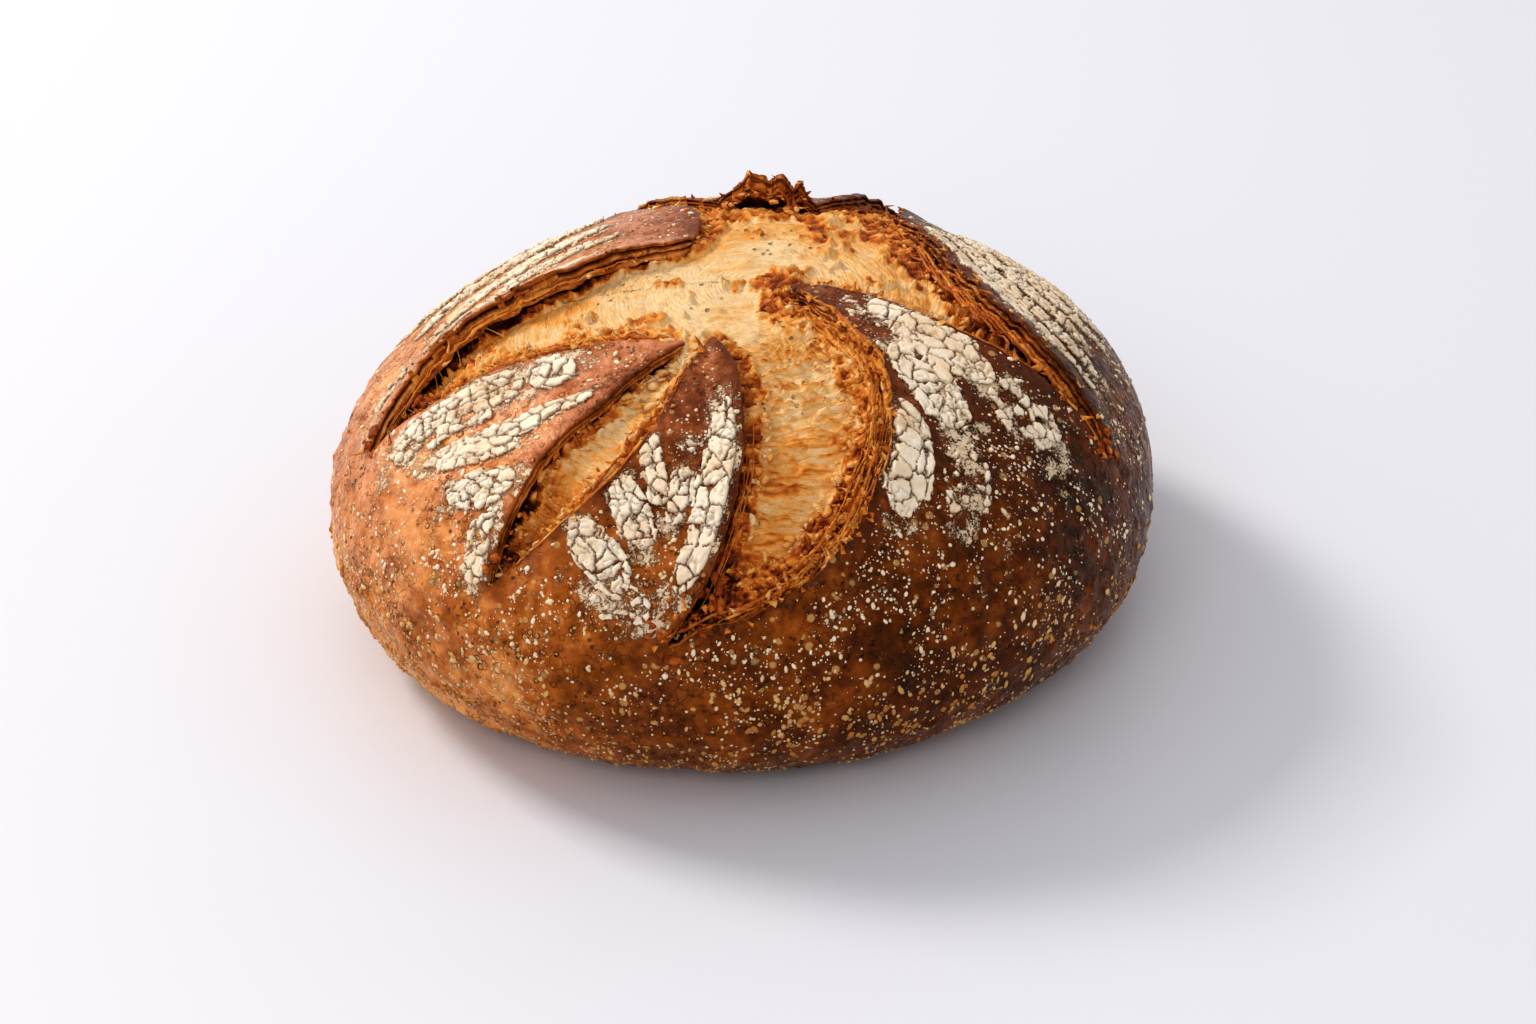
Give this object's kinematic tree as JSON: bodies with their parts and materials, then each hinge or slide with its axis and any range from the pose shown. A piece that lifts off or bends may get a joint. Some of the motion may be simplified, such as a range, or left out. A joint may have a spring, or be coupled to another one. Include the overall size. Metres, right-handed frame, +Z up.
{
  "type": "sourdough loaf",
  "caption": "Round hand-scored sourdough loaf with a star of burst slashes on its domed crust and a flat underside to rest on.",
  "frame": {"origin": "on the table, at the middle of the loaf's footprint", "axes": "+Z up through the crown; the two slashes that the loaf is looked at from run out towards -Y, its front; +X is to the right"},
  "size_m": [0.2412, 0.24, 0.1055],
  "materials": {
    "crust": "matt to satin baked crust, dusted with flour",
    "flour": "matt, powdery",
    "crumb": "matt, torn open"
  },
  "bodies": {
    "root": {"loaf": "crust"}
  },
  "joints": []
}
